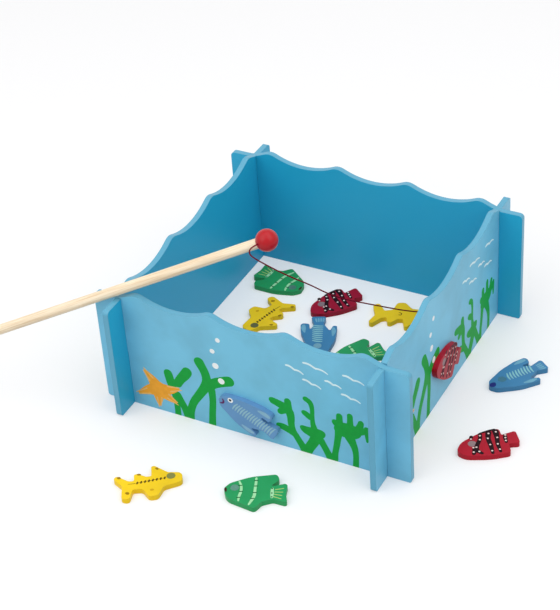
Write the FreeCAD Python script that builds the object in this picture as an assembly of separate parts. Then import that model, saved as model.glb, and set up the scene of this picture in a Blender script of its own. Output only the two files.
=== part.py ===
"""Magnetic fishing game: four slotted panels that make a pond, twelve wooden fish and a rod.

Everything is built in the pond's own frame first: X along the front panel from left to right,
Y from the front panel to the back one, Z up, with the middle of the pond's floor at zero.
At the end the whole set is moved so that its lowest, middle point is the origin. Sizes are in mm.
"""
import FreeCAD, Part
import math
import os

from FreeCAD import Vector

# Pond panels: four equal boards, halved into each other near their ends
panel_length = 300.0
panel_thickness = 5.5
panel_end_tab = 25.0            # from a slot's middle to the end of the board
corner_height = 115.0           # height of the tabs that cross at each corner
crest_inset = 17.0              # from a corner to the nearest wave crest
crest_rise = 6.5                # crests above the tabs
trough_drop = 1.5               # troughs below the tabs
crest_radius = 12.0
wave_count = 3
tab_top_radius = 4.0
tab_foot_radius = 2.5
slot_side_clearance = 0.15
slot_end_clearance = 0.1

# Fish: sawn from board, with a steel slug right through the head
fish_thickness = 5.0
slug_diameter = 7.5
slug_clearance = 0.1

# Rod: a dowel glued into a bored wooden ball
rod_diameter = 9.0
rod_length = 451.5              # from the butt to the middle of the ball
rod_butt_ease = 0.8
rod_lean = 23.0                 # degrees above the floor
rod_heading = 19.5              # degrees from X towards Y, seen from above
rod_rest_from_tab_end = 13.0    # where the rod lies on the front panel's left tab
rod_rest_clearance = 0.3
ball_diameter = 19.5
ball_bore_clearance = 0.1

# Line: a soft cord from a blind hole in the ball's side to the magnet's holder
line_diameter = 1.2
line_hole_clearance = 0.1
line_hole_off_dowel = 55.0      # degrees between the hole and the dowel
line_hole_turn = 24.0           # degrees that the hole is turned up from the dowel's level side
line_hole_depth = 2.4
line_run_out = 3.0              # straight length of line outside the ball
line_run_down = 5.8             # straight length of line above the magnet's holder

# Magnet and its holder, standing on the floor beside the nose of a yellow fish
holder_diameter = 8.0
holder_height = 8.0
holder_top_chamfer = 1.0
holder_hole_depth = 1.5
holder_ahead = 14.7             # from the fish's slug, along the fish
holder_aside = 12.1             # from the fish's slug, across the fish
magnet_diameter = 6.0
magnet_height = 2.5
magnet_clearance = 0.1

# Fish outlines: corners (along the fish with the nose at +, across it, rounding radius)
GREEN_FISH = [(28.4, 0.8, 4.5), (24.3, 12.0, 12.0), (-1.8, 22.4, 3.0), (-6.6, 13.6, 2.0),
              (-15.3, 9.2, 4.0), (-28.2, 12.4, 2.0), (-24.8, 1.0, 9.0), (-24.6, -11.6, 2.5),
              (-9.6, -5.2, 1.1), (-16.8, -15.2, 3.0), (-13.4, -21.4, 3.5), (8.3, -15.6, 40.0),
              (24.3, -6.2, 10.0)]
RED_FISH = [(26.2, -1.0, 5.0), (21.0, 7.0, 14.0), (1.0, 13.9, 60.0), (-17.2, 15.4, 3.0),
            (-19.4, 4.2, 1.2), (-29.0, 6.6, 2.2), (-30.8, -9.6, 2.2), (-17.4, -8.4, 1.2),
            (-18.4, -17.2, 3.0), (-2.0, -17.6, 60.0), (19.5, -10.2, 18.0)]
BLUE_FISH = [(29.4, -2.8, 4.0), (25.0, 4.0, 8.0), (5.0, 12.7, 45.0), (-14.4, 15.4, 2.0),
             (-14.8, 11.6, 1.5), (-7.4, 8.0, 1.0), (-19.0, 2.6, 3.0), (-30.0, 6.2, 2.2),
             (-31.2, -8.6, 2.2), (-18.6, -5.8, 3.0), (-9.6, -11.4, 1.0), (-20.2, -10.4, 2.2),
             (-22.6, -18.9, 3.5), (-9.0, -19.2, 15.0), (8.0, -15.8, 45.0), (25.4, -8.8, 8.0)]
YELLOW_FISH = [(28.4, 5.8, 5.0), (16.5, 7.6, 5.0), (5.0, 18.0, 1.8), (2.4, 16.8, 1.2),
               (2.2, 4.9, 1.6), (-2.2, 4.8, 2.5), (-9.8, 9.9, 2.2), (-12.6, 8.8, 1.2),
               (-12.9, 0.7, 1.8), (-17.8, 1.6, 4.0), (-27.5, 9.6, 2.2), (-30.5, 6.2, 2.2),
               (-23.2, -3.9, 6.0), (-24.4, -19.0, 3.0), (-18.0, -22.0, 3.0), (-14.2, -9.4, 2.0),
               (-6.0, -10.0, 4.0), (-1.0, -20.6, 4.0), (6.6, -20.2, 4.5), (12.2, -9.6, 5.0),
               (28.4, -5.4, 5.0)]
OUTLINES = {"green": GREEN_FISH, "red": RED_FISH, "blue": BLUE_FISH, "yellow": YELLOW_FISH}
SLUG_PLACES = {"green": (19.3, -1.0), "red": (10.2, -5.8), "blue": (14.1, -4.6), "yellow": (18.8, 2.6)}

# The shoal of six fish inside the pond keeps its layout and takes a share of the free room there
shoal_half_length = 93.0
shoal_half_width = 61.3
shoal_share_along = -0.684
shoal_share_across = 0.733

# Fish of the shoal: name, colour, place from the shoal's middle, heading of the nose in degrees,
# and whether the fish is turned over
SHOAL = [
    ("green_fish_in_pond_left", "green", -65.9, 40.1, -15.1, False),
    ("red_fish_in_pond", "red", 1.2, 26.1, 237.9, False),
    ("blue_fish_in_pond", "blue", 13.1, -24.7, 299.1, False),
    ("yellow_fish_in_pond_left", "yellow", -48.7, -15.8, 249.2, False),
    ("yellow_fish_in_pond_right", "yellow", 67.3, 32.6, 28.0, True),
    ("green_fish_in_pond_right", "green", 56.0, -36.9, 223.7, False),
]
NEAREST_FISH = "yellow_fish_in_pond_right"

# Fish outside: name, colour, distance out from the panel's middle plane, place along it, heading
IN_FRONT_OF_POND = [("green_fish_outside", "green", 67.3, 37.1, 197.0),
                    ("yellow_fish_outside", "yellow", 93.2, -53.1, 33.2)]
RIGHT_OF_POND = [("red_fish_outside", "red", 65.8, -63.3, 223.0),
                 ("blue_fish_outside", "blue", 56.8, 35.3, 236.8)]

# Fish glued to the outside of a panel: place along it from its middle, height, heading
FRONT_FISH_PLACE = (-4.0, 24.5, 158.0)
RIGHT_FISH_PLACE = (-9.6, 35.4, 158.5)

# Middle of the line's route, from the bend under the rod to the slack above the magnet
LINE_ROUTE = [(-7.6, -97.2, 177.8), (-9.4, -94.4, 170.2), (-8.0, -87.6, 161.8), (-4.4, -79.0, 152.0),
              (0.8, -67.0, 138.5), (7.2, -52.6, 123.4), (14.8, -35.0, 106.2), (21.8, -18.6, 88.2),
              (29.6, -0.6, 71.9), (38.2, 19.8, 56.3), (47.9, 43.2, 38.7), (55.0, 60.8, 25.4),
              (62.2, 71.0, 18.8), (71.7, 77.8, 15.6)]

half_pond = panel_length / 2 - panel_end_tab
outer_face = half_pond + panel_thickness / 2
inner_face = half_pond - panel_thickness / 2


def rounded_face(corners, mirrored=False):
    """A flat face whose straight sides meet in tangent arcs, given as (x, y, radius) corners."""
    points = [Vector(x, -y if mirrored else y, 0) for x, y, radius in corners]
    count = len(points)
    starts, arcs, ends = [], [], []
    for i, corner in enumerate(points):
        back = points[i - 1] - corner
        ahead = points[(i + 1) % count] - corner
        half_angle = back.getAngle(ahead) / 2
        reach = min(corners[i][2] / math.tan(half_angle), 0.48 * back.Length, 0.48 * ahead.Length)
        radius = reach * math.tan(half_angle)
        back.normalize()
        ahead.normalize()
        inward = (back + ahead).normalize()
        starts.append(corner + back * reach)
        ends.append(corner + ahead * reach)
        arcs.append(corner + inward * (radius / math.sin(half_angle) - radius))
    edges = []
    for i in range(count):
        edges.append(Part.Arc(starts[i], arcs[i], ends[i]).toShape())
        edges.append(Part.LineSegment(ends[i], starts[(i + 1) % count]).toShape())
    return Part.Face(Part.Wire(edges))


def wave_edges():
    """Arcs of a panel's wavy top, from the left tab to the right one, each tangent to the next."""
    pitch = 2 * (half_pond - crest_inset) / wave_count
    rise = crest_rise + trough_drop
    reach = ((pitch / 2) ** 2 + rise ** 2) / (2 * rise)
    trough_radius = reach - crest_radius
    crest_z = corner_height + crest_rise - crest_radius
    trough_z = corner_height - trough_drop + trough_radius
    tangent = math.asin(pitch / 2 / reach)

    def crest_point(middle, angle):
        return Vector(middle + crest_radius * math.sin(angle), 0,
                      crest_z + crest_radius * math.cos(angle))

    def trough_point(middle, angle):
        return Vector(middle + trough_radius * math.sin(angle), 0,
                      trough_z - trough_radius * math.cos(angle))

    end_angle = math.acos((trough_radius - trough_drop) / trough_radius)
    first = -(half_pond - crest_inset)
    outer_trough = first - pitch / 2
    edges = [Part.Arc(trough_point(outer_trough, end_angle),
                      trough_point(outer_trough, (end_angle + tangent) / 2),
                      crest_point(first, -tangent)).toShape()]
    for i in range(wave_count + 1):
        crest = first + i * pitch
        edges.append(Part.Arc(crest_point(crest, -tangent), crest_point(crest, 0),
                              crest_point(crest, tangent)).toShape())
        if i < wave_count:
            trough = crest + pitch / 2
            edges.append(Part.Arc(crest_point(crest, tangent), trough_point(trough, 0),
                                  crest_point(crest + pitch, -tangent)).toShape())
    edges.append(Part.Arc(crest_point(-first, tangent),
                          trough_point(-outer_trough, -(end_angle + tangent) / 2),
                          trough_point(-outer_trough, -end_angle)).toShape())
    return edges


def panel_blank():
    """One board standing along X, centred on Y = 0, before its slots are cut."""
    top = wave_edges()
    left = top[0].Vertexes[0].Point
    right = top[-1].Vertexes[-1].Point
    end = panel_length / 2
    turn = math.sqrt(0.5)
    foot = tab_foot_radius
    head = tab_top_radius
    edges = top + [
        Part.LineSegment(right, Vector(end - head, 0, corner_height)).toShape(),
        Part.Arc(Vector(end - head, 0, corner_height),
                 Vector(end - head * (1 - turn), 0, corner_height - head * (1 - turn)),
                 Vector(end, 0, corner_height - head)).toShape(),
        Part.LineSegment(Vector(end, 0, corner_height - head), Vector(end, 0, foot)).toShape(),
        Part.Arc(Vector(end, 0, foot), Vector(end - foot * (1 - turn), 0, foot * (1 - turn)),
                 Vector(end - foot, 0, 0)).toShape(),
        Part.LineSegment(Vector(end - foot, 0, 0), Vector(foot - end, 0, 0)).toShape(),
        Part.Arc(Vector(foot - end, 0, 0), Vector(foot * (1 - turn) - end, 0, foot * (1 - turn)),
                 Vector(-end, 0, foot)).toShape(),
        Part.LineSegment(Vector(-end, 0, foot), Vector(-end, 0, corner_height - head)).toShape(),
        Part.Arc(Vector(-end, 0, corner_height - head),
                 Vector(head * (1 - turn) - end, 0, corner_height - head * (1 - turn)),
                 Vector(head - end, 0, corner_height)).toShape(),
        Part.LineSegment(Vector(head - end, 0, corner_height), left).toShape(),
    ]
    board = Part.Face(Part.Wire(Part.__sortEdges__(edges))).extrude(Vector(0, panel_thickness, 0))
    board.translate(Vector(0, -panel_thickness / 2, 0))
    return board


def slotted_panel(slot_floor, slot_roof):
    """A board with two slots that reach from slot_floor to slot_roof."""
    board = panel_blank()
    width = panel_thickness + 2 * slot_side_clearance
    for side in (-1, 1):
        slot = Part.makeBox(width, 2 * panel_thickness, slot_roof - slot_floor,
                            Vector(side * half_pond - width / 2, -panel_thickness, slot_floor))
        board = board.cut(slot)
    return board


def make_panels():
    """Front and back boards are slotted from below, left and right ones from above."""
    middle = corner_height / 2
    tall = corner_height + crest_rise
    low_slots = slotted_panel(-tall, middle + slot_end_clearance)
    high_slots = slotted_panel(middle - slot_end_clearance, 2 * tall)
    high_slots.rotate(Vector(0, 0, 0), Vector(0, 0, 1), 90)
    panels = {}
    for name, board, place in (("front_panel", low_slots, Vector(0, -half_pond, 0)),
                               ("back_panel", low_slots, Vector(0, half_pond, 0)),
                               ("left_panel", high_slots, Vector(-half_pond, 0, 0)),
                               ("right_panel", high_slots, Vector(half_pond, 0, 0))):
        panels[name] = board.copy()
        panels[name].translate(place)
    return panels


def fish_board(colour, mirrored=False):
    """A fish lying flat with its underside on the floor."""
    return rounded_face(OUTLINES[colour], mirrored).extrude(Vector(0, 0, fish_thickness))


def slug_place(colour, mirrored):
    x, y = SLUG_PLACES[colour]
    return Vector(x, -y if mirrored else y, 0)


def loose_fish():
    """Name, colour, place, heading and turned-over state of every fish on the floor."""
    middle_x = shoal_share_along * (inner_face - shoal_half_length)
    middle_y = shoal_share_across * (inner_face - shoal_half_width)
    fish = [(name, colour, Vector(middle_x + x, middle_y + y, 0), heading, turned_over)
            for name, colour, x, y, heading, turned_over in SHOAL]
    fish += [(name, colour, Vector(along, -half_pond - out, 0), heading, False)
             for name, colour, out, along, heading in IN_FRONT_OF_POND]
    fish += [(name, colour, Vector(half_pond + out, along, 0), heading, False)
             for name, colour, out, along, heading in RIGHT_OF_POND]
    return fish


def fish_with_slug(colour, turned_over=False):
    """A fish lying flat, bored through, and the slug in its bore."""
    at = slug_place(colour, turned_over)
    bore = Part.makeCylinder(slug_diameter / 2 + slug_clearance, fish_thickness, at)
    slug = Part.makeCylinder(slug_diameter / 2, fish_thickness, at)
    return fish_board(colour, turned_over).cut(bore), slug


def make_loose_fish():
    """Ten fish flat on the floor, each with its steel slug."""
    pieces = {}
    for name, colour, place, heading, turned_over in loose_fish():
        body, slug = fish_with_slug(colour, turned_over)
        for key, shape in ((name, body), (name + "_slug", slug)):
            shape.rotate(Vector(0, 0, 0), Vector(0, 0, 1), heading)
            shape.translate(place)
            pieces[key] = shape
    return pieces


def make_panel_fish():
    """A blue fish with no slug glued to the front panel, and a red one to the right panel."""
    along, height, heading = FRONT_FISH_PLACE
    front = fish_board("blue")
    front.rotate(Vector(0, 0, 0), Vector(0, 0, 1), heading)
    front.rotate(Vector(0, 0, 0), Vector(1, 0, 0), 90)
    front.translate(Vector(along, -outer_face, height))
    pieces = {"blue_fish_on_front_panel": front}
    along, height, heading = RIGHT_FISH_PLACE
    body, slug = fish_with_slug("red")
    for key, shape in (("red_fish_on_right_panel", body), ("red_fish_on_right_panel_slug", slug)):
        shape.rotate(Vector(0, 0, 0), Vector(0, 0, 1), heading)
        shape.rotate(Vector(0, 0, 0), Vector(1, 1, 1), 120)
        shape.translate(Vector(outer_face, along, height))
        pieces[key] = shape
    return pieces


def rod_frame():
    """The rod's direction, its butt and the middle of its ball.

    The eased rim of the butt stands on the floor, and the dowel lies against the upper outer
    edge of the front panel's left tab."""
    lean = math.radians(rod_lean)
    heading = math.radians(rod_heading)
    along = Vector(math.cos(lean) * math.cos(heading), math.cos(lean) * math.sin(heading), math.sin(lean))
    edge = Vector(rod_rest_from_tab_end - panel_length / 2, -outer_face, corner_height)
    away = Vector(0, -along.z, along.y).normalize()
    near = edge + away * (rod_diameter / 2 + rod_rest_clearance)
    butt_height = rod_diameter / 2 * math.cos(lean) - rod_butt_ease * math.sin(lean)
    butt = near + along * ((butt_height - near.z) / along.z)
    return along, butt, butt + along * rod_length


def line_hole():
    """The middle of the ball and the direction in which the line's hole leaves it."""
    along, butt, ball_middle = rod_frame()
    level = Vector(along.y, -along.x, 0).normalize()
    upward = along.cross(level) * -1
    turn = math.radians(line_hole_turn)
    off = math.radians(line_hole_off_dowel)
    side = level * math.cos(turn) + upward * math.sin(turn)
    return ball_middle, side * math.sin(off) - along * math.cos(off)


def make_rod():
    """The dowel with its eased butt, and the ball bored to its middle for the dowel."""
    along, butt, ball_middle = rod_frame()
    radius = rod_diameter / 2
    profile = Part.makePolygon([Vector(0, 0, 0), Vector(radius - rod_butt_ease, 0, 0),
                                Vector(radius, 0, rod_butt_ease), Vector(radius, 0, rod_length),
                                Vector(0, 0, rod_length), Vector(0, 0, 0)])
    dowel = Part.Face(profile).revolve(Vector(0, 0, 0), Vector(0, 0, 1), 360)
    dowel.Placement = FreeCAD.Placement(butt, FreeCAD.Rotation(Vector(0, 0, 1), along))
    bore = Part.makeCylinder(radius + ball_bore_clearance, ball_diameter, ball_middle, along * -1)
    ball_middle, mouth = line_hole()
    hole = Part.makeCylinder(line_diameter / 2 + line_hole_clearance, ball_diameter,
                             ball_middle + mouth * (ball_diameter / 2 - line_hole_depth), mouth)
    ball = Part.makeSphere(ball_diameter / 2, ball_middle).cut(bore).cut(hole)
    return {"rod_dowel": dowel, "rod_ball": ball}


def holder_foot():
    """The point on the floor where the magnet's holder stands, beside the nearest fish's nose."""
    for name, colour, place, heading, turned_over in loose_fish():
        if name == NEAREST_FISH:
            at = slug_place(colour, turned_over) + Vector(holder_ahead, -holder_aside, 0)
            return FreeCAD.Rotation(Vector(0, 0, 1), heading).multVec(at) + place


def make_magnet():
    """The holder, turned with a chamfered top, and the magnet flush in its underside."""
    foot = holder_foot()
    radius = holder_diameter / 2
    shoulder = holder_height - holder_top_chamfer
    holder = Part.makeCylinder(radius, shoulder, foot)
    top = Part.makeCone(radius, radius - holder_top_chamfer, holder_top_chamfer,
                        foot + Vector(0, 0, shoulder))
    pocket = Part.makeCylinder(magnet_diameter / 2 + magnet_clearance, magnet_height, foot)
    thread_hole = Part.makeCylinder(line_diameter / 2 + line_hole_clearance, 2 * holder_hole_depth,
                                    foot + Vector(0, 0, holder_height - holder_hole_depth))
    magnet = Part.makeCylinder(magnet_diameter / 2, magnet_height, foot)
    return {"magnet_holder": holder.fuse(top).cut(pocket).cut(thread_hole), "magnet": magnet}


def line_points():
    """The whole route: out of the ball, along the chosen points, and down into the holder."""
    ball_middle, mouth = line_hole()
    skin = ball_diameter / 2
    top = holder_foot() + Vector(0, 0, holder_height)
    start = [ball_middle + mouth * (skin - line_hole_depth), ball_middle + mouth * (skin + line_run_out)]
    finish = [top + Vector(0, 0, line_run_down), top - Vector(0, 0, holder_hole_depth)]
    return start + [Vector(*point) for point in LINE_ROUTE] + finish


def make_line():
    """A tube along straight runs joined by tangent arcs as large as the runs allow."""
    points = line_points()
    edges = []
    previous = points[0]
    radii = []
    for i in range(1, len(points) - 1):
        back = points[i - 1] - points[i]
        ahead = points[i + 1] - points[i]
        shorter = min(back.Length, ahead.Length)
        half_turn = (math.pi - back.getAngle(ahead)) / 2
        reach = 0.45 * shorter
        radius = reach / math.tan(half_turn)
        back.normalize()
        ahead.normalize()
        start = points[i] + back * reach
        end = points[i] + ahead * reach
        bulge = (back + ahead).normalize() * (radius / math.cos(half_turn) - radius)
        edges.append(Part.LineSegment(previous, start).toShape())
        edges.append(Part.Arc(start, points[i] + bulge, end).toShape())
        radii.append(round(radius, 1))
        previous = end
    edges.append(Part.LineSegment(previous, points[-1]).toShape())
    path = Part.Wire(edges)
    section = Part.Wire([Part.Circle(points[0], points[1] - points[0], line_diameter / 2).toShape()])
    tube = path.makePipeShell([section], True, False)
    expected = math.pi * line_diameter ** 2 / 4 * path.Length
    print("line radii", radii)
    print("line length %.1f, volume %.2f, expected %.2f" % (path.Length, tube.Volume, expected))
    return {"fishing_line": tube}


def main():
    rigid = {}
    rigid.update(make_panels())
    rigid.update(make_loose_fish())
    rigid.update(make_panel_fish())
    rigid.update(make_rod())
    hanging = {}
    hanging.update(make_magnet())
    hanging.update(make_line())
    box = Part.makeCompound(list(rigid.values())).optimalBoundingBox(False)
    to_origin = Vector(-(box.XMin + box.XMax) / 2, -(box.YMin + box.YMax) / 2, 0)
    os.makedirs("parts", exist_ok=True)
    for name, shape in {**rigid, **hanging}.items():
        shape.translate(to_origin)
        shape.exportStep("parts/%s.step" % name)
    print("moved by", to_origin)
    print(len(rigid) + len(hanging), "nodes")


main()
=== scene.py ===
import math

import bmesh
import bpy
import numpy as np
from mathutils import Matrix, Vector


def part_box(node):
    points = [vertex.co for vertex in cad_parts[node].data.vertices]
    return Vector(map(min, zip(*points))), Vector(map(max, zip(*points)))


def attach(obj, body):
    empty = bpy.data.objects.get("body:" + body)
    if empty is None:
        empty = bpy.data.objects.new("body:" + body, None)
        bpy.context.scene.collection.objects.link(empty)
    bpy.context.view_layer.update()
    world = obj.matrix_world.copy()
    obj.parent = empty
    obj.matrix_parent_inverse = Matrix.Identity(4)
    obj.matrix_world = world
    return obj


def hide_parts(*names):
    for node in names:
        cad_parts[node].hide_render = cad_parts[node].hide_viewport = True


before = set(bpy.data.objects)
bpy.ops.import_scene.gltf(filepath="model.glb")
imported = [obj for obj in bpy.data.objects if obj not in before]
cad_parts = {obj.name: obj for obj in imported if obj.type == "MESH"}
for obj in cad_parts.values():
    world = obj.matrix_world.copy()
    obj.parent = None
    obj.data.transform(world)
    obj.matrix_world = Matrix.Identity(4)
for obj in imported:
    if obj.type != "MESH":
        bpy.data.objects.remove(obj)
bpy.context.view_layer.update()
MM = 0.001

# Pond panels
# Four equal boards of thin wood, sawn with a wavy top and halved into each other near their ends.
# They are sprayed one satin blue. The inner faces are given a deeper blue, and the sawn edges another, both
# as painted shade.
panel_outer_blue = (117, 196, 227)
# Painted shade: the same paint as the outer faces, darkened for the inner faces that the walls shade inside
# the pond
panel_inner_shade_blue = (34, 169, 208)
# Painted shade: a deeper blue on the edges of the same paint
panel_edge_shade_blue = (88, 161, 190)
# The pale lift on the edges is partly worn paint and partly a painted highlight
thin_paint, worn_and_highlight_lift, rounded_edge_radius = 0.94, 60, 0.7
grain_lengthwise, grain_across, grain_depth = 60.0, 900.0, 0.08
front_low, front_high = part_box("front_panel")
left_low, left_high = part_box("left_panel")
pond_middle = np.array([(front_low.x + front_high.x) / 2, (left_low.y + left_high.y) / 2, 0.0])
panel_outer_face = pond_middle[1] - front_low.y


def linear(colour):
    """Turns a colour of 0 to 255 into the linear one that a shader wants: each channel's share goes
    to the power of 2.4 after a small offset, or down a straight line where it is near black."""
    values = [c / 255 for c in colour]
    return tuple(c / 12.92 if c <= 0.04045 else ((c + 0.055) / 1.055) ** 2.4 for c in values) + (1.0,)


def node(tree, kind, **inputs):
    """Adds a shader node and sets its input sockets by name."""
    made = tree.nodes.new(kind)
    for key, value in inputs.items():
        made.inputs[key.replace("_", " ")].default_value = value
    return made


def colour_mix(tree, first, second):
    """Adds a mix of two colours of 0 to 255, and leaves a side that is None to a link."""
    made = tree.nodes.new("ShaderNodeMix")
    made.data_type = "RGBA"
    for side, colour in (("A", first), ("B", second)):
        if colour is not None:
            made.inputs[side].default_value = linear(colour)
    return made


def new_finish(name, **values):
    """Starts a material and sets its shader's own sockets by name: material, node tree, shader."""
    material = bpy.data.materials.new(name)
    material.use_nodes = True
    shader = material.node_tree.nodes["Principled BSDF"]
    for key, value in values.items():
        shader.inputs[key.replace("_", " ")].default_value = value
    return material, material.node_tree, shader


def painted_wood(name, colour, roughness, grain_along, grain_bump=0.25, edge_lift=0.12, sheen=0.2):
    """Paint on wood: the colour drifts by a slow noise, the grain shows as a faint bump stretched
    along one axis, and the edges, found where a rounded normal leaves the true one, are paler: partly worn
    paint and partly a painted highlight."""
    material, tree, shader = new_finish(name, Roughness=roughness, Specular_IOR_Level=sheen)
    place = node(tree, "ShaderNodeTexCoord")
    drift = node(tree, "ShaderNodeTexNoise", Scale=22.0, Detail=3.0, Roughness=0.6)
    tree.links.new(place.outputs["Object"], drift.inputs["Vector"])
    paint = colour_mix(tree, [c * thin_paint for c in colour], colour)
    reach = node(tree, "ShaderNodeMapRange", From_Min=0.35, From_Max=0.62)
    tree.links.new(drift.outputs["Fac"], reach.inputs["Value"])
    tree.links.new(reach.outputs["Result"], paint.inputs["Factor"])
    rounded = node(tree, "ShaderNodeBevel", Radius=rounded_edge_radius * MM)
    true_normal = node(tree, "ShaderNodeNewGeometry")
    agreement = node(tree, "ShaderNodeVectorMath")
    agreement.operation = "DOT_PRODUCT"
    tree.links.new(rounded.outputs["Normal"], agreement.inputs[0])
    tree.links.new(true_normal.outputs["Normal"], agreement.inputs[1])
    # Partly worn paint and partly a painted highlight: the rounded edges are lifted towards a paler colour
    wear_and_highlight = node(tree, "ShaderNodeMapRange", From_Min=0.98, From_Max=0.80, To_Max=edge_lift)
    tree.links.new(agreement.outputs["Value"], wear_and_highlight.inputs["Value"])
    worn_and_highlit = colour_mix(tree, None, [min(255, c + worn_and_highlight_lift) for c in colour])
    tree.links.new(wear_and_highlight.outputs["Result"], worn_and_highlit.inputs["Factor"])
    tree.links.new(paint.outputs["Result"], worn_and_highlit.inputs["A"])
    tree.links.new(worn_and_highlit.outputs["Result"], shader.inputs["Base Color"])
    stretch = node(tree, "ShaderNodeMapping")
    stretch.inputs["Scale"].default_value = [grain_lengthwise if axis == grain_along else grain_across
                                             for axis in "XYZ"]
    grain = node(tree, "ShaderNodeTexNoise", Scale=1.0, Detail=4.0, Roughness=0.6)
    relief = node(tree, "ShaderNodeBump", Strength=grain_bump, Distance=grain_depth * MM)
    tree.links.new(place.outputs["Object"], stretch.inputs["Vector"])
    tree.links.new(stretch.outputs["Vector"], grain.inputs["Vector"])
    tree.links.new(grain.outputs["Fac"], relief.inputs["Height"])
    tree.links.new(rounded.outputs["Normal"], relief.inputs["Normal"])
    tree.links.new(relief.outputs["Normal"], shader.inputs["Normal"])
    return material


def panel_paint_and_shade(name, outward, grain_along):
    """The outer blue, with a deeper blue as painted shade where the surface faces away from the outer side,
    and another deeper one as painted shade on the sawn edges, where the surface faces neither way."""
    material = painted_wood(name, panel_outer_blue, 0.4, grain_along, grain_bump=0.3, sheen=0.4)
    tree = material.node_tree
    shader = tree.nodes["Principled BSDF"]
    outer = shader.inputs["Base Color"].links[0].from_socket
    facing = node(tree, "ShaderNodeVectorMath")
    facing.operation = "DOT_PRODUCT"
    facing.inputs[1].default_value = [-c for c in outward]
    # Painted shade: the faces that look away from the outer side take the deeper inner blue
    inner_shade_mask = node(tree, "ShaderNodeMapRange", From_Min=0.85, From_Max=0.95)
    side = colour_mix(tree, None, panel_inner_shade_blue)
    true_normal = node(tree, "ShaderNodeNewGeometry")
    tree.links.new(true_normal.outputs["Normal"], facing.inputs[0])
    tree.links.new(facing.outputs["Value"], inner_shade_mask.inputs["Value"])
    tree.links.new(inner_shade_mask.outputs["Result"], side.inputs["Factor"])
    tree.links.new(outer, side.inputs["A"])
    square_on = node(tree, "ShaderNodeMath")
    square_on.operation = "ABSOLUTE"
    # Painted shade: the edges, which face neither out nor in, take a deeper blue
    edge_shade_mask = node(tree, "ShaderNodeMapRange", From_Min=0.7, From_Max=0.4, To_Max=0.85)
    edge_shade = colour_mix(tree, None, panel_edge_shade_blue)
    tree.links.new(facing.outputs["Value"], square_on.inputs[0])
    tree.links.new(square_on.outputs["Value"], edge_shade_mask.inputs["Value"])
    tree.links.new(edge_shade_mask.outputs["Result"], edge_shade.inputs["Factor"])
    tree.links.new(side.outputs["Result"], edge_shade.inputs["A"])
    tree.links.new(edge_shade.outputs["Result"], shader.inputs["Base Color"])
    return material


def dress(piece, material):
    """Gives every material slot of a piece the same finish."""
    piece.data.materials.clear()
    piece.data.materials.append(material)


# Each panel's outward side, its rightward side as seen from outside, and the axis of its grain
panel_sides = {
    "front_panel": ((0.0, -1.0, 0.0), (1.0, 0.0, 0.0), "X"),
    "right_panel": ((1.0, 0.0, 0.0), (0.0, 1.0, 0.0), "Y"),
    "back_panel": ((0.0, 1.0, 0.0), (-1.0, 0.0, 0.0), "X"),
    "left_panel": ((-1.0, 0.0, 0.0), (0.0, -1.0, 0.0), "Y"),
}
for panel, (outward, _, grain_along) in panel_sides.items():
    dress(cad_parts[panel], panel_paint_and_shade(panel + "_paint", outward, grain_along))

# Printed sea scene
# Seaweed, a starfish, bubbles and ripples, screen printed in flat ink on the outer face of each
# panel. The front and right panels show it, and the other two are given the same print.
ink_thickness = 0.05
ink_step, ink_step_count = 0.002, 12
first_coat, second_coat, third_coat = 0.0, 0.03, 0.06
tip_half_width, print_lowest = 0.02, 0.1
seaweed_green = (22, 160, 62)
starfish_orange = (248, 168, 52)
bubble_white = (246, 254, 255)
ripple_white = (222, 244, 252)

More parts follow.
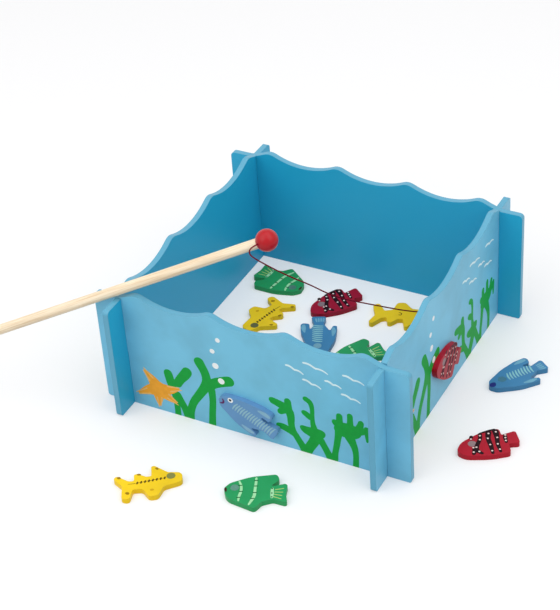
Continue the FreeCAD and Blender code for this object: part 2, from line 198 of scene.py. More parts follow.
# Fronds: middle line from root to tip, and half widths there, in mm from the panel's foot
FRONDS = [
    ([(-76.8, -4), (-76.8, 12), (-77.8, 24), (-80.8, 36), (-83.4, 49.8)], [3.2, 3.2, 3.8, 4.6, 4.4]),
    ([(-76, 33), (-71, 41.5), (-64.6, 50), (-60.2, 57.4)], [4.2, 4.4, 5.0, 4.6]),
    ([(-76, 27), (-71.5, 16), (-67, 5), (-65, -4)], [3.4, 3.7, 4.4, 4.8]),
    ([(-64.6, -4), (-63.2, 8), (-59.2, 20), (-52.6, 30.5), (-46, 41), (-43.2, 50), (-44.8, 59), (-48.6, 67),
      (-51, 73)], [4.6, 3.9, 3.8, 4.1, 4.6, 4.6, 4.6, 5.0, 5.3]),
    ([(-42.2, -4), (-40.6, 14), (-39, 30), (-39.6, 44)], [3.7, 3.4, 3.4, 4.2]),
    ([(-44, 41), (-36, 48.6), (-27, 53.2), (-20, 56), (-15.8, 57.4)], [4.6, 5.0, 5.2, 5.3, 5.2]),
    ([(52, -4), (49.5, 3), (46, 9), (42.2, 15.5), (39.2, 21), (37.9, 28), (38, 35), (36.8, 41), (33.5, 45)],
     [5.2, 4.4, 3.6, 3.4, 3.3, 3.3, 3.8, 4.4, 4.6]),
    ([(36, 43.5), (28, 46.5), (20.2, 48.6), (17.6, 48.8)], [4.8, 4.2, 3.5, 3.3]),
    ([(36, 42), (36, 48), (35.8, 55.4)], [4.2, 3.6, 3.1]),
    ([(34, 42), (30, 40), (26, 36.4)], [4.0, 3.4, 2.6]),
    ([(43, 16), (36, 19.8), (30, 22), (23, 22.8)], [3.4, 3.6, 3.7, 2.2]),
    ([(49.5, -4), (53.5, 5), (58.5, 14), (63, 24)], [5.4, 4.6, 4.8, 5.6]),
    ([(46.5, 28.5), (53, 25.5), (62, 24.8), (70.5, 27.5)], [2.4, 4.7, 6.0, 3.4]),
    ([(60.5, 28), (59, 36), (58.9, 44), (59, 51), (57.3, 57.8), (51, 61.6)], [3.6, 2.4, 2.1, 2.2, 2.7, 2.8]),
    ([(58.5, 39), (54, 43.2), (48.8, 46)], [2.6, 3.2, 2.4]),
    ([(64, 22), (69.3, 12), (74.5, 1), (76, -4)], [4.0, 3.5, 4.0, 4.4]),
    ([(76.5, -4), (78, 2), (79.3, 10), (81.2, 20), (82.7, 29), (84, 37)], [4.4, 3.6, 2.9, 3.0, 3.3, 4.4]),
    ([(79, 36.5), (87, 37.8), (96, 38.4), (105, 41.5)], [4.4, 7.8, 7.8, 4.6]),
    ([(85, 40), (81.5, 42.8), (78, 46)], [4.4, 3.5, 2.6]),
    ([(84.5, 41), (84.6, 48), (84.7, 54.8)], [3.6, 3.1, 2.9]),
    ([(94.5, 42), (94.6, 50), (94.6, 57.8)], [3.6, 2.8, 2.7]),
    ([(102, 41), (103.8, 47), (105.3, 53.2)], [4.4, 3.2, 2.4]),
    ([(101, 40), (105, 42), (109.6, 44)], [4.4, 4.0, 3.2]),
    ([(109.7, 48), (109.7, 42), (110, 36), (110, 31)], [2.6, 2.4, 1.8, 0.9]),
    ([(98, -4), (98.5, 4), (98.8, 13), (98, 20), (95.5, 27), (92, 35)], [3.0, 2.8, 2.8, 3.3, 4.2, 6.0]),
]
STARFISH_ARMS = [(-107.6, 42), (-72.5, 30.5), (-76.8, 13.2), (-95.4, 4.6), (-116.5, 13.2)]
STARFISH_MIDDLE = (-94.5, 24)
starfish_arm_half_widths, starfish_radius, starfish_bend = [8.0, 4.9, 1.2], 9.0, 0.03
streak_tone = (244, 188, 112)

# Streaks on an arm: start and end, as shares of its length along it and aside, and half widths
STREAKS = [((0.45, 0.14), (1.02, 0.05), [0.9, 0.5]), ((0.5, -0.12), (1.1, -0.04), [0.8, 0.4])]

# Bubbles: middle and radius. Ripples: both ends. All in mm, as the fronds are
BUBBLES = [((-28.2, 98.2), 2.3), ((-34.6, 84.6), 2.4), ((-32.8, 69.2), 3.1), ((-28.4, 53.6), 3.2)]
RIPPLES = [((52.6, 100.8), (76.2, 95.4)), ((89.2, 98.6), (109.2, 94.2)), ((36.0, 93.2), (53.0, 88.0)),
           ((72.4, 87.6), (88.0, 83.8)), ((51.4, 82.6), (69.0, 77.4)), ((87.2, 78.0), (105.2, 73.6))]


def smooth_line(points, count):
    """A cardinal curve through the points: between two of them it is the cubic whose slope at each
    is half the step between that point's neighbours. The places along it lie closer near its ends."""
    p = np.array(points, float)
    p = np.vstack([2 * p[0] - p[1], p, 2 * p[-1] - p[-2]])
    t = (len(points) - 1 - 1e-9) * (1 - np.cos(np.linspace(0, math.pi, count))) / 2
    i = t.astype(int)
    f = (t - i)[:, None]
    a, b, c, d = p[i], p[i + 1], p[i + 2], p[i + 3]
    return 0.5 * (2 * b + (c - a) * f + (2 * a - 5 * b + 4 * c - d) * f**2 + (3 * b - a - 3 * c + d) * f**3)


def stroke(points, half_widths, count=26):
    """A brush stroke with round ends: across the smooth line, the half width is the given one times
    the root of one less the square of how far the place lies into the end's round."""
    line = smooth_line(points, count)
    width = smooth_line([(w, 0.0) for w in half_widths], count)[:, 0]
    step = np.gradient(line, axis=0)
    step /= np.linalg.norm(step, axis=1)[:, None]
    along = np.concatenate([[0], np.cumsum(np.linalg.norm(np.diff(line, axis=0), axis=1))])
    to_end = np.minimum(along, along[-1] - along)
    into_round = np.clip(1 - to_end / np.maximum(width, tip_half_width / 2), 0, 1)
    width = np.maximum(width * np.sqrt(1 - into_round**2), tip_half_width)
    aside = np.stack([-step[:, 1], step[:, 0]], 1) * width[:, None]
    return np.stack([line - aside, line + aside], 1)


def disc(middle, radius, count=28):
    """A round spot, as a lens of two arcs: the half height is the root of the radius squared less
    the square of the distance along."""
    turn = np.linspace(0, math.pi, count)
    x = middle[0] - radius * np.cos(turn)
    y = np.maximum(radius * np.sin(turn), tip_half_width / 2)
    return np.stack([np.stack([x, middle[1] - y], 1), np.stack([x, middle[1] + y], 1)], 1)


def ripple(start, end):
    """A small wave: a thin stroke along a straight line that is dropped a little, then lifted into
    two round humps by the size of a sine over one turn."""
    hump, drop = 1.3, 1.6
    t = np.linspace(0, 1, 22)
    line = np.outer(1 - t, start) + np.outer(t, end)
    line[:, 1] += hump * np.abs(np.sin(2 * math.pi * t)) - drop
    return stroke(line, [0.9, 0.95, 0.85, 0.5], 40)


def print_on(name, shapes, to_place, colour, under):
    """Lays flat ink: each shape is a grid of two edges, given a back on the carrier and a front one
    ink's thickness above it and any ink under it, and closed round its rim. The fronts of a print's
    shapes lie a small step apart, so that none falls into another where they cross."""
    corners, faces, first = [], [], 0
    for k, grid in enumerate(shapes):
        lift = under + ink_thickness + ink_step * (k % ink_step_count)
        n = len(grid)
        corners += [to_place(grid[:, 0], 0.0), to_place(grid[:, 1], 0.0),
                    to_place(grid[:, 1], lift), to_place(grid[:, 0], lift)]
        ring = first + np.arange(4)[:, None] * n + np.arange(n)[None, :]
        for side in range(4):
            a, b = ring[side], ring[(side + 1) % 4]
            faces.append(np.stack([a[:-1], a[1:], b[1:], b[:-1]], 1))
        faces.append(ring[:, 0][None, :])
        faces.append(ring[::-1, -1][None, :])
        first += 4 * n
    mesh = bpy.data.meshes.new(name)
    mesh.from_pydata(np.vstack(corners).tolist(), [], np.vstack(faces).tolist())
    mesh.update()
    piece = bpy.data.objects.new(name, mesh)
    bpy.context.scene.collection.objects.link(piece)
    outward_faces(mesh)
    dress(piece, ink(name + "_ink", colour))
    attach(piece, "root")


def outward_faces(mesh):
    """Turns every face of a closed mesh outwards."""
    shape = bmesh.new()
    shape.from_mesh(mesh)
    bmesh.ops.recalc_face_normals(shape, faces=shape.faces)
    shape.to_mesh(mesh)
    shape.free()


def ink(name, colour):
    """Flat ink: one colour that a fine noise thins here and there by a few parts in a hundred."""
    material, tree, shader = new_finish(name, Roughness=0.5, Specular_IOR_Level=0.12)
    place = node(tree, "ShaderNodeTexCoord")
    speck = node(tree, "ShaderNodeTexNoise", Scale=260.0, Detail=3.0)
    thin = colour_mix(tree, [c * 0.93 for c in colour], [min(255, c * 1.05) for c in colour])
    tree.links.new(place.outputs["Object"], speck.inputs["Vector"])
    tree.links.new(speck.outputs["Fac"], thin.inputs["Factor"])
    tree.links.new(thin.outputs["Result"], shader.inputs["Base Color"])
    return material


def panel_place(outward, rightward):
    """Takes points in mm on a panel's outer face, from its foot's middle, to the set's frame: the
    first goes rightward, the second up, and the lift outward from the face. None is below the foot."""
    out, right = np.array(outward), np.array(rightward)

    def to_place(flat, lift):
        reach = panel_outer_face + lift * MM
        height = np.maximum(flat[:, 1:], print_lowest)
        return pond_middle + flat[:, :1] * MM * right + height * MM * [0, 0, 1] + reach * out

    return to_place


def starfish():
    """Five arms that taper from the middle to their tips, and a round middle on them. Each arm runs
    through the point halfway to its tip, moved aside by a small share of the arm's length."""
    middle = np.array(STARFISH_MIDDLE, float)
    arms = []
    for tip in STARFISH_ARMS:
        reach = np.array(tip) - middle
        bend = np.array([reach[1], -reach[0]]) * starfish_bend
        arms.append(stroke([middle, middle + reach * 0.5 + bend, np.array(tip)], starfish_arm_half_widths))
    return arms + [disc(middle, starfish_radius)]


def starfish_streaks():
    """Two thin brush marks on each arm, one on either side of its middle line: each starts about
    halfway along the arm and ends just past its tip."""
    middle = np.array(STARFISH_MIDDLE, float)
    streaks = []
    for tip in STARFISH_ARMS:
        reach = np.array(tip) - middle
        aside = np.array([-reach[1], reach[0]])
        for start, end, half_widths in STREAKS:
            ends = [middle + reach * along + aside * across for along, across in (start, end)]
            streaks.append(stroke(ends, half_widths, 12))
    return streaks


def print_marks(carrier, on_carrier, marks):
    """Prints a carrier's marks one by one: each has its shapes, its ink and the coats under it."""
    for mark, (shapes, colour, under) in marks.items():
        print_on(carrier + "_" + mark, shapes, on_carrier, colour, under)


sea_marks = {
    "seaweed": ([stroke(*frond) for frond in FRONDS], seaweed_green, first_coat),
    "starfish": (starfish(), starfish_orange, second_coat),
    "starfish_streaks": (starfish_streaks(), streak_tone, third_coat),
    "bubbles": ([disc(*bubble) for bubble in BUBBLES], bubble_white, second_coat),
    "ripples": ([ripple(*ends) for ends in RIPPLES], ripple_white, first_coat),
}
for panel, (outward, rightward, _) in panel_sides.items():
    print_marks(panel, panel_place(outward, rightward), sea_marks)

# Loose fish
# Ten flat fish sawn from 5 mm wood, each dipped in one colour, with a few strokes of ink on top.
# They lie where the steel slugs in their heads are, and one of them has been turned over.

# Headings: the nose's turn from X in degrees, and whether the fish lies turned over
FISH_HEADINGS = {
    "green_fish_in_pond_left": (-15.1, False),
    "green_fish_in_pond_right": (223.7, False),
    "green_fish_outside": (197.0, False),
    "red_fish_in_pond": (237.9, False),
    "red_fish_outside": (223.0, False),
    "blue_fish_in_pond": (299.1, False),
    "blue_fish_outside": (236.8, False),
    "yellow_fish_in_pond_left": (249.2, False),
    "yellow_fish_in_pond_right": (28.0, True),
    "yellow_fish_outside": (33.2, False),
}

# The slug's middle in each fish, in mm from the middle of its outline, with the nose along X
SLUG_IN_FISH = {"green": (19.3, -1.0), "red": (10.2, -5.8), "blue": (14.1, -4.6), "yellow": (18.8, 2.6)}


def fish_place(name, colour, heading, turned_over):
    """Takes points in mm on a loose fish's upper face, from its outline's middle, to the set's frame:
    mirrored if it lies turned over, turned by its heading, and moved so that its slug is in place."""
    low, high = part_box(name + "_slug")
    slug = np.array(SLUG_IN_FISH[colour]) * [1, -1 if turned_over else 1]
    turn = math.radians(heading)
    spin = np.array([[math.cos(turn), math.sin(turn)], [-math.sin(turn), math.cos(turn)]])
    middle = np.array([(low.x + high.x) / 2, (low.y + high.y) / 2]) / MM - slug @ spin
    top = high.z / MM

    def to_place(flat, lift):
        spun = (flat * [1, -1 if turned_over else 1]) @ spin + middle
        return np.column_stack([spun, np.full(len(flat), top + lift)]) * MM

    return to_place


def of_colour(colour):
    """The loose fish of one colour, each with its name and the function that places ink on it."""
    for name, (heading, turned_over) in FISH_HEADINGS.items():
        if name.startswith(colour):
            yield name, fish_place(name, colour, heading, turned_over)


# Green fish
# A tall fish with two pale stripes that dark ticks break up, a pale band with dark dots where the
# tail starts, thin rays on the tail and a dark mouth.
green_paint = painted_wood("green_fish_paint", (42, 157, 91), 0.4, "X")
green_pale_strokes = [
    stroke([(3.8, 19.0), (2.2, 13.0), (1.0, 7.0), (1.8, -1.0), (2.4, -8.0), (3.4, -15.6)],
           [0.8, 1.2, 1.35, 1.15, 1.15, 0.9]),
    stroke([(13.0, 15.4), (13.6, 9.6), (13.2, 2.6), (14.4, -4.0), (17.2, -9.6)],
           [0.6, 1.15, 1.15, 1.05, 0.8]),
    stroke([(-14.2, 8.4), (-13.4, 2.4), (-12.4, -4.4)], [1.0, 1.5, 1.1]),
]
green_rays = [stroke([(-15.0, y), (-22.4, y + slope)], [0.5, 0.35], 10)
              for y, slope in ((6.2, 2.2), (3.4, 0.8), (0.6, -0.6), (-2.2, -2.6))]
green_dots = [disc(spot, 0.75, 14) for spot in ((-13.8, 6.8), (-13.1, 2.2), (-12.4, -3.4))]
green_dots += [stroke([(x - 1.8, y), (x + 1.8, y + 0.6)], [0.5, 0.6], 8) for x, y in (
    (1.9, 10.3), (1.2, 3.0), (1.7, -5.2), (2.8, -12.0), (13.8, 10.4), (13.2, 3.0), (15.2, -4.4))]
green_mouth = [stroke([(25.6, 5.2), (26.4, 2.6), (27.0, 0.0)], [0.5, 1.0, 1.0], 14)]
green_marks = {
    "stripes": (green_pale_strokes, (166, 222, 168), first_coat),
    "rays": (green_rays, (176, 206, 120), first_coat),
    "dots": (green_dots, (22, 96, 52), second_coat),
    "mouth": (green_mouth, (64, 30, 26), first_coat),
}
for fish, on_fish in of_colour("green"):
    dress(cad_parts[fish], green_paint)
    print_marks(fish, on_fish, green_marks)

# Red fish
# A deep red fish with black bands across its body and rows of white dots along the bands. The one
# in the pond is given a deeper red as painted shade, and one more is glued to the outside of the right
# panel.
red_paint = painted_wood("red_fish_paint", (180, 14, 40), 0.38, "X")
# Painted shade: the same red, darkened for the fish that lies inside the pond
red_fish_shade_paint = painted_wood("red_fish_painted_shade_paint", (160, 8, 42), 0.38, "X")
red_bands = [
    stroke([(-17.8, 3.0), (-19.2, -3.8), (-20.8, -8.6)], [1.2, 1.9, 1.5], 16),
    stroke([(-9.0, 12.8), (-10.2, 2.0), (-12.8, -7.0), (-14.8, -17.2)], [1.2, 1.9, 2.2, 3.2]),
    stroke([(-1.8, 12.6), (-3.9, 2.0), (-5.2, -8.0), (-9.0, -17.0)], [1.3, 2.1, 2.2, 2.8]),
    stroke([(5.8, 9.8), (9.4, 3.4), (7.0, -2.4), (1.6, -9.8), (-0.8, -16.4)],
           [1.3, 2.2, 1.9, 1.8, 1.8]),
    stroke([(14.4, 8.2), (11.2, 3.2), (11.0, -1.2)], [1.3, 2.1, 1.2], 16),
    stroke([(9.4, -10.2), (8.6, -13.2), (6.8, -15.8)], [0.8, 1.6, 1.6], 12),
    # The last stroke runs along the back edge where the bands' tops join, and is partly painted shade along
    # that rounded edge
    stroke([(-15.2, -17.2), (-8.0, -17.0), (0.6, -16.3)], [0.9, 1.1, 0.6], 16),
]
red_dots = [disc(spot, 0.9, 14) for spot in (
    (-18.4, -0.2), (-19.4, -3.8), (-20.5, -7.2), (-9.5, 8.7), (-10.3, 1.6), (-12.9, -6.4), (-14.4, -13.7),
    (-2.6, 8.3), (-3.9, 0.3), (-4.9, -7.9), (-7.7, -13.8), (8.0, 5.6), (8.4, -0.4), (2.2, -8.6),
    (0.3, -13.4), (12.8, 4.8), (11.1, -0.6), (9.1, -11.8))]


def red_marks(band_ink):
    """Bands first, and the dots on top of them."""
    return {"bands": (red_bands, band_ink, first_coat), "dots": (red_dots, (240, 214, 206), second_coat)}


for fish, on_fish in of_colour("red"):
    # The fish in the pond takes the red darkened as painted shade
    dress(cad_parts[fish], red_fish_shade_paint if fish == "red_fish_in_pond" else red_paint)
    print_marks(fish, on_fish, red_marks((34, 6, 14)))

# Blue fish
# A blue fish with a ladder of short pale bars along its side, pale insides to its fins, short pale
# rays on its tail and a dark nose.
blue_paint = painted_wood("blue_fish_paint", (66, 130, 174), 0.4, "X")
fin_insides = [stroke([(-12.4, 11.6), (-6.0, 11.6), (1.0, 10.2)], [1.0, 2.0, 0.6], 18),
               stroke([(-19.8, -15.8), (-14.0, -16.4), (-7.0, -15.6)], [1.2, 2.2, 0.6], 18)]
tail_rays = [stroke([(-28.2, y), (-25.4, y + 0.1), (-22.0, 0.8 * y - 0.2)], [0.7, 0.85, 0.5], 14)
             for y in (3.2, 0.8, -1.6, -4.0)]
blue_nose = [stroke([(22.0, -4.2), (25.4, -2.6), (28.6, -1.4)], [1.4, 2.9, 2.4], 16)]


def ladder(start, end, spacing, half_width):
    """Slanting pale bars at even steps along the side. Each is a stroke through three points, the
    upper one nearest the head, and the nearer a bar is to the head, the lower it lies."""
    return [stroke([(x + 1.4, 2.5 - 0.1 * (x + 16)), (x + 0.8, -2.6 - 0.08 * (x + 16)),
                    (x - 1.2, -8.2 - 0.05 * (x + 16))], [0.4, half_width, 0.45], 12)
            for x in np.arange(start, end, spacing)]


blue_marks = {
    "bars": (ladder(-16.8, 9.0, 2.95, 0.8), (138, 192, 196), first_coat),
    "fin_insides": (fin_insides + tail_rays, (112, 168, 192), first_coat),
    "nose": (blue_nose, (34, 44, 116), first_coat),
}
for fish, on_fish in of_colour("blue"):
    dress(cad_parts[fish], blue_paint)
    print_marks(fish, on_fish, blue_marks)

# Yellow fish
# A slim yellow fish with a black line of small cross ticks from its slug to its tail, and a brown
# dab near the tip of each fin. The one that lies turned over shows a plain back with one hook.
yellow_paint = painted_wood("yellow_fish_paint", (248, 207, 27), 0.4, "X")
yellow_spine = [stroke([(14.0, 0.9), (6.0, 0.0), (-2.0, -0.9), (-11.0, -2.3)],
                       [0.22, 0.25, 0.25, 0.22]),
                stroke([(-11.6, -2.4), (-18.4, -2.2)], [0.3, 0.2], 12)]
yellow_ticks = [stroke([(x - 0.5, y - 1.7), (x, y), (x + 0.4, y + 1.7)], [0.45, 0.8, 0.45], 12)
                for x, y in ((x, 0.115 * x - 0.8) for x in np.arange(-10.2, 14.0, 3.37))]
yellow_dabs = [stroke([(6.0, 14.9), (7.4, 13.6), (8.4, 12.2)], [0.7, 1.2, 0.6], 14),
               stroke([(-10.2, 8.7), (-8.2, 8.5), (-6.4, 7.7)], [0.7, 1.2, 0.6], 14),
               stroke([(-27.0, 8.0), (-25.5, 6.9), (-23.9, 6.0)], [0.9, 1.5, 0.7], 14),
               stroke([(-20.7, -12.4), (-18.9, -13.7), (-17.8, -15.2)], [0.9, 1.5, 0.8], 14)]
yellow_belly_dab = [stroke([(0.2, -12.6), (2.0, -12.4), (3.6, -12.9)], [0.8, 1.3, 0.7], 14)]
yellow_hook = stroke([(-1.5, -1.7), (0.5, -0.9), (1.7, -2.7), (0.7, -4.5), (-0.9, -4.7)],
                     [0.4, 0.45, 0.5, 0.45, 0.4], 18)
yellow_marks = {
    "spine": (yellow_spine + yellow_ticks, (84, 62, 10), first_coat),
    "dabs": (yellow_dabs, (158, 122, 14), first_coat),
    "belly_dab": (yellow_belly_dab, (206, 160, 20), first_coat),
}
yellow_back_marks = {"hook": ([yellow_hook], (120, 88, 14), first_coat)}
for fish, on_fish in of_colour("yellow"):
    turned_over = FISH_HEADINGS[fish][1]
    dress(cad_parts[fish], yellow_paint)
    print_marks(fish, on_fish, yellow_back_marks if turned_over else yellow_marks)

# Fish on the panels
# A blue fish glued flat to the front panel and a red one to the right panel, so that they swim in
# the printed sea. The blue one is a paler blue, with a printed eye and mouth and no slug.

# Places: right of the panel's middle and above its foot in mm, and the nose's turn in degrees
blue_on_front = (-4.0, 24.5, 158.0)
red_on_right = (-9.6, 35.4, 158.5)


def panel_fish_place(panel, at, thickness):
    """Takes points in mm on the outer face of a fish that is glued to a panel to the set's frame:
    turned, moved to its place on the panel, and lifted by the fish's thickness."""
    outward, rightward, _ = panel_sides[panel]
    on_panel = panel_place(outward, rightward)
    turn = math.radians(at[2])
    spin = np.array([[math.cos(turn), math.sin(turn)], [-math.sin(turn), math.cos(turn)]])
    return lambda flat, lift: on_panel(flat @ spin + np.array(at[:2]), lift + thickness)


front_fish_low, front_fish_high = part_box("blue_fish_on_front_panel")
fish_thickness = (front_fish_high.y - front_fish_low.y) / MM
dress(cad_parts["blue_fish_on_front_panel"],
      painted_wood("pale_blue_fish_paint", (104, 154, 202), 0.4, "X"))
dress(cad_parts["red_fish_on_right_panel"], red_paint)
on_front_fish = panel_fish_place("front_panel", blue_on_front, fish_thickness)
front_fish_mouth = stroke([(26.6, 0.8), (24.2, -0.6), (23.8, -3.0), (25.8, -5.2)],
                          [0.5, 0.95, 0.95, 0.5], 18)
front_fish_marks = {
    "bars": (ladder(-26.5, 13.8, 2.6, 0.75), (150, 192, 206), first_coat),
    "fin_insides": (fin_insides, (140, 184, 208), first_coat),
    "mouth": ([front_fish_mouth], (92, 40, 92), first_coat),
    "eye": ([disc((18.6, -8.6), 2.6)], (252, 254, 255), first_coat),
    "pupil": ([disc((18.8, -8.6), 1.3)], (10, 12, 18), second_coat),
}
print_marks("blue_fish_on_front_panel", on_front_fish, front_fish_marks)
print_marks("red_fish_on_right_panel", panel_fish_place("right_panel", red_on_right, fish_thickness),
            red_marks((84, 10, 30)))

# Slugs
# Soft steel rounds pressed through the fish's heads, turned flat and dulled by a thin film of the
# paint that the fish was dipped in, thinner on some than on others. The magnet takes hold of them.
SLUG_TONES = {"green": (92, 138, 118), "green_fish_outside": (104, 154, 132), "red": (152, 124, 126),
              "blue": (118, 164, 182), "blue_fish_outside": (66, 122, 142), "yellow": (110, 108, 60),
              "yellow_fish_outside": (142, 139, 66)}


def turned_steel(name, colour, metal):
    """Steel under a thin film: a fine noise drifts the tone and the roughness together."""
    material, tree, shader = new_finish(name, Metallic=metal)
    place = node(tree, "ShaderNodeTexCoord")
    turning = node(tree, "ShaderNodeTexNoise", Scale=900.0, Detail=2.0)
    dull = node(tree, "ShaderNodeMapRange", To_Min=0.35, To_Max=0.6)
    tone = colour_mix(tree, [c * 0.88 for c in colour], [min(255, c * 1.1) for c in colour])
    tree.links.new(place.outputs["Object"], turning.inputs["Vector"])
    tree.links.new(turning.outputs["Fac"], dull.inputs["Value"])
    tree.links.new(dull.outputs["Result"], shader.inputs["Roughness"])
    tree.links.new(turning.outputs["Fac"], tone.inputs["Factor"])
    tree.links.new(tone.outputs["Result"], shader.inputs["Base Color"])
    return material


for colour, tone in SLUG_TONES.items():
    slug_steel = turned_steel(colour + "_fish_slug_steel", tone, 0.4)
    for name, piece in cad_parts.items():
        if name.startswith(colour) and name.endswith("_slug"):
            dress(piece, slug_steel)

# Rod
# A length of beech dowel, sanded and left bare, with fine pores and darker flecks along it. It
# leans on the corner of the pond with its butt on the table.
rod_lean, rod_heading = math.radians(23.0), math.radians(19.5)
rod_direction = Vector((math.cos(rod_lean) * math.cos(rod_heading),
                        math.cos(rod_lean) * math.sin(rod_heading), math.sin(rod_lean)))
beech_dark, beech_light = (222, 194, 156), (248, 232, 204)
beech, beech_tree, beech_shader = new_finish("bare_beech", Roughness=0.55)
beech_place = node(beech_tree, "ShaderNodeTexCoord")
along_rod = node(beech_tree, "ShaderNodeMapping")
along_rod.inputs["Rotation"].default_value = rod_direction.to_track_quat("X", "Z").inverted().to_euler()
stretched = node(beech_tree, "ShaderNodeMapping")
stretched.inputs["Scale"].default_value = (22.0, 700.0, 700.0)
figure = node(beech_tree, "ShaderNodeTexNoise", Scale=1.0, Detail=5.0, Roughness=0.6)
beech_tone = colour_mix(beech_tree, beech_dark, beech_light)
figure_reach = node(beech_tree, "ShaderNodeMapRange", From_Min=0.32, From_Max=0.62)
pores = node(beech_tree, "ShaderNodeBump", Strength=0.3, Distance=0.1 * MM)
beech_tree.links.new(beech_place.outputs["Object"], along_rod.inputs["Vector"])
beech_tree.links.new(along_rod.outputs["Vector"], stretched.inputs["Vector"])
beech_tree.links.new(stretched.outputs["Vector"], figure.inputs["Vector"])
beech_tree.links.new(figure.outputs["Fac"], figure_reach.inputs["Value"])
beech_tree.links.new(figure_reach.outputs["Result"], beech_tone.inputs["Factor"])
beech_tree.links.new(beech_tone.outputs["Result"], beech_shader.inputs["Base Color"])
beech_tree.links.new(figure.outputs["Fac"], pores.inputs["Height"])
beech_tree.links.new(pores.outputs["Normal"], beech_shader.inputs["Normal"])
dress(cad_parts["rod_dowel"], beech)

# Ball on the rod
# A turned wooden ball, bored to its middle for the dowel and glued on. It has two coats of red
# lacquer, rubbed down to a soft shine.
ball_lacquer = painted_wood("red_ball_lacquer", (180, 8, 24), 0.3, "Z", grain_bump=0.12,
                            edge_lift=0.05, sheen=0.25)
ball_shader = ball_lacquer.node_tree.nodes["Principled BSDF"]
ball_shader.inputs["Coat Weight"].default_value = 0.12
ball_shader.inputs["Coat Roughness"].default_value = 0.2
dress(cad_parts["rod_ball"], ball_lacquer)

# Fishing line
# A soft dark red cord of two twisted strands, glued into a small hole in the ball's side. It hangs
# slack across the pond, down to the magnet that stands on the floor there.

# The line's sizes are in mm
line_diameter = 1.2
line_hole_direction = np.array([-0.3707, -0.9249, 0.0834])
line_run_out = 3.0
line_hole_depth = 2.4
line_run_down = 5.8
holder_hole_depth = 1.5

# The line's middle from the ball to the magnet, in mm from the middle of the pond's floor
LINE_ROUTE = [(-7.6, -97.2, 177.8), (-9.4, -94.4, 170.2), (-8.0, -87.6, 161.8), (-4.4, -79.0, 152.0),
              (0.8, -67.0, 138.5), (7.2, -52.6, 123.4), (14.8, -35.0, 106.2), (21.8, -18.6, 88.2),
              (29.6, -0.6, 71.9), (38.2, 19.8, 56.3), (47.9, 43.2, 38.7), (55.0, 60.8, 25.4),
              (62.2, 71.0, 18.8), (71.7, 77.8, 15.6)]
ball_low, ball_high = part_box("rod_ball")
holder_low, holder_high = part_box("magnet_holder")
ball_middle = np.array((ball_low + ball_high) / 2)
ball_radius = (ball_high.z - ball_low.z) / 2 / MM
holder_top = np.array((holder_low + holder_high) / 2)
holder_top[2] = holder_high.z
upright = np.array([0, 0, MM])
line_start = ball_middle + line_hole_direction * (ball_radius - line_hole_depth) * MM
route = [line_start, ball_middle + line_hole_direction * (ball_radius + line_run_out) * MM]
route += [pond_middle + np.array(point) * MM for point in LINE_ROUTE]
route += [holder_top + upright * line_run_down, holder_top - upright * holder_hole_depth]
line_curve = bpy.data.curves.new("fishing_line_curve", "CURVE")
line_curve.dimensions = "3D"
line_curve.bevel_depth = line_diameter / 2 * MM
line_curve.bevel_resolution = 4
line_curve.use_fill_caps = True
line_curve.resolution_u = 24
spline = line_curve.splines.new("NURBS")
spline.points.add(len(route) - 1)
spline.points.foreach_set("co", np.column_stack([route, np.ones(len(route))]).ravel())
spline.order_u = 3
spline.use_endpoint_u = True
fishing_line = bpy.data.objects.new("red_fishing_line", line_curve)
bpy.context.scene.collection.objects.link(fishing_line)
fibre_dark, fibre_light = (104, 0, 26), (138, 4, 38)
line_fibre, fibre_tree, fibre_shader = new_finish("red_line_fibre", Roughness=0.8, Specular_IOR_Level=0.1)
fibre_place = node(fibre_tree, "ShaderNodeTexCoord")
strands = node(fibre_tree, "ShaderNodeTexWave", Scale=650.0, Distortion=1.5)
strands.bands_direction = "DIAGONAL"
fibre_tone = colour_mix(fibre_tree, fibre_dark, fibre_light)
fibre_relief = node(fibre_tree, "ShaderNodeBump", Strength=0.5, Distance=0.1 * MM)
fibre_tree.links.new(fibre_place.outputs["Object"], strands.inputs["Vector"])
fibre_tree.links.new(strands.outputs["Fac"], fibre_tone.inputs["Factor"])
fibre_tree.links.new(fibre_tone.outputs["Result"], fibre_shader.inputs["Base Color"])
fibre_tree.links.new(strands.outputs["Fac"], fibre_relief.inputs["Height"])
fibre_tree.links.new(fibre_relief.outputs["Normal"], fibre_shader.inputs["Normal"])
line_curve.materials.append(line_fibre)
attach(fishing_line, "root")
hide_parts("fishing_line")

# Magnet and its holder
# A small red plastic button, moulded with a hole for the line, and a plated magnet pressed flush
# into its underside. It stands on the floor beside the nose of a yellow fish.
holder_plastic = painted_wood("red_holder_plastic", (186, 28, 40), 0.4, "Z", grain_bump=0.05,
                              edge_lift=0.05)
dress(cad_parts["magnet_holder"], holder_plastic)
dress(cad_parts["magnet"], turned_steel("plated_magnet", (188, 190, 194), 1.0))

# Studio
# A pale seamless floor under a pale sky, with a wide soft lamp from the front left and two weaker
# ones from above and from the right. The lens is a long one, looking down from the front right.
floor_glow_share, sky_light = 0.28, 0.68
floor_mesh = bpy.data.meshes.new("studio_floor")
floor_reach = 12.0
floor_corners = [(x * floor_reach, y * floor_reach, 0) for x, y in ((-1, -1), (1, -1), (1, 1), (-1, 1))]
floor_mesh.from_pydata(floor_corners, [], [(0, 1, 2, 3)])
studio_floor = bpy.data.objects.new("studio_floor", floor_mesh)
bpy.context.scene.collection.objects.link(studio_floor)
floor_paper, floor_tree, floor_shader = new_finish("floor_paper", Roughness=0.9, Specular_IOR_Level=0.1)


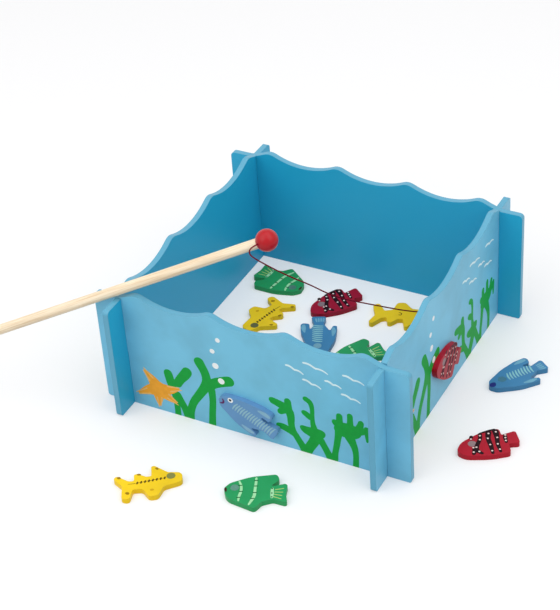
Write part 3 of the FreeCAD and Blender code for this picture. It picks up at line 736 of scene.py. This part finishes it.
def seen_share(tree, share):
    """The share for rays that look at the backdrop, straight or by a shine, and nought for others:
    the greatest of the three marks that tell such rays, times the share."""
    path = node(tree, "ShaderNodeLightPath")
    total = path.outputs["Is Camera Ray"]
    for ray in ("Is Glossy Ray", "Is Transmission Ray"):
        both = node(tree, "ShaderNodeMath")
        both.operation = "MAXIMUM"
        tree.links.new(total, both.inputs[0])
        tree.links.new(path.outputs[ray], both.inputs[1])
        total = both.outputs["Value"]
    part = node(tree, "ShaderNodeMath")
    part.operation = "MULTIPLY"
    part.inputs[1].default_value = share
    tree.links.new(total, part.inputs[0])
    return part.outputs["Value"]


floor_tone = node(floor_tree, "ShaderNodeMix")
floor_tone.data_type = "RGBA"
floor_tone.inputs["A"].default_value = (0.60, 0.60, 0.61, 1.0)
floor_tone.inputs["B"].default_value = (0.94, 0.94, 0.95, 1.0)
floor_glow = node(floor_tree, "ShaderNodeEmission", Color=(1.0, 1.0, 1.0, 1.0), Strength=1.0)
floor_mix = node(floor_tree, "ShaderNodeMixShader")
floor_out = floor_tree.nodes["Material Output"]
floor_tree.links.new(seen_share(floor_tree, 1.0), floor_tone.inputs["Factor"])
floor_tree.links.new(floor_tone.outputs["Result"], floor_shader.inputs["Base Color"])
floor_tree.links.new(seen_share(floor_tree, floor_glow_share), floor_mix.inputs["Fac"])
floor_tree.links.new(floor_shader.outputs["BSDF"], floor_mix.inputs[1])
floor_tree.links.new(floor_glow.outputs["Emission"], floor_mix.inputs[2])
floor_tree.links.new(floor_mix.outputs["Shader"], floor_out.inputs["Surface"])
floor_mesh.materials.append(floor_paper)

world = bpy.data.worlds.new("studio_world")
bpy.context.scene.world = world
world.use_nodes = True
sky = world.node_tree.nodes["Background"]
sky.inputs["Color"].default_value = (1.0, 1.0, 1.0, 1.0)
sky_level = node(world.node_tree, "ShaderNodeMath")
sky_level.operation = "ADD"
sky_level.inputs[1].default_value = sky_light
world.node_tree.links.new(seen_share(world.node_tree, 1.0 - sky_light), sky_level.inputs[0])
world.node_tree.links.new(sky_level.outputs["Value"], sky.inputs["Strength"])


def soft_light(name, place, size, watts, aim):
    """A square lamp that looks at a point."""
    lamp = bpy.data.lights.new(name, "AREA")
    lamp.size = size
    lamp.energy = watts
    holder = bpy.data.objects.new(name, lamp)
    holder.matrix_world = Matrix.LocRotScale(
        place, (Vector(place) - Vector(aim)).to_track_quat("Z", "Y"), None)
    bpy.context.scene.collection.objects.link(holder)


middle = Vector(pond_middle)
soft_light("key_light", middle + Vector((-0.8, -1.2, 1.5)), 2.0, 15.0, middle)
soft_light("top_light", middle + Vector((0.1, 0.2, 1.9)), 1.4, 6.0, middle)
soft_light("right_fill", middle + Vector((1.1, -0.2, 1.4)), 1.4, 7.0, middle)

# The camera looks at the pond from its own place, given in mm from the middle of the pond's floor
camera_yaw, camera_pitch, camera_roll = math.radians(29.77), math.radians(36.23), math.radians(-4.15)
camera_target = np.array([-33.5, -7.4, 52.1])
camera_distance = 1624.0
focal_pixels, frame_height, sensor_width = 1780.0, 610.0, 36.0
backward = Vector((math.cos(camera_pitch) * math.sin(camera_yaw),
                   -math.cos(camera_pitch) * math.cos(camera_yaw), math.sin(camera_pitch)))
level_right = Vector((math.cos(camera_yaw), math.sin(camera_yaw), 0.0))
level_up = backward.cross(level_right)
camera_right = level_right * math.cos(camera_roll) + level_up * math.sin(camera_roll)
camera_up = level_up * math.cos(camera_roll) - level_right * math.sin(camera_roll)
lens = bpy.data.cameras.new("camera")
lens.sensor_width = sensor_width
lens.lens = focal_pixels * sensor_width / frame_height
lens.clip_end = 100.0
camera = bpy.data.objects.new("camera", lens)
stand = middle + Vector(camera_target * MM) + backward * camera_distance * MM
camera.matrix_world = Matrix.Translation(stand) @ Matrix(
    (camera_right, camera_up, backward)).transposed().to_4x4()
bpy.context.scene.collection.objects.link(camera)
bpy.context.scene.camera = camera
bpy.context.scene.view_settings.view_transform = "Standard"
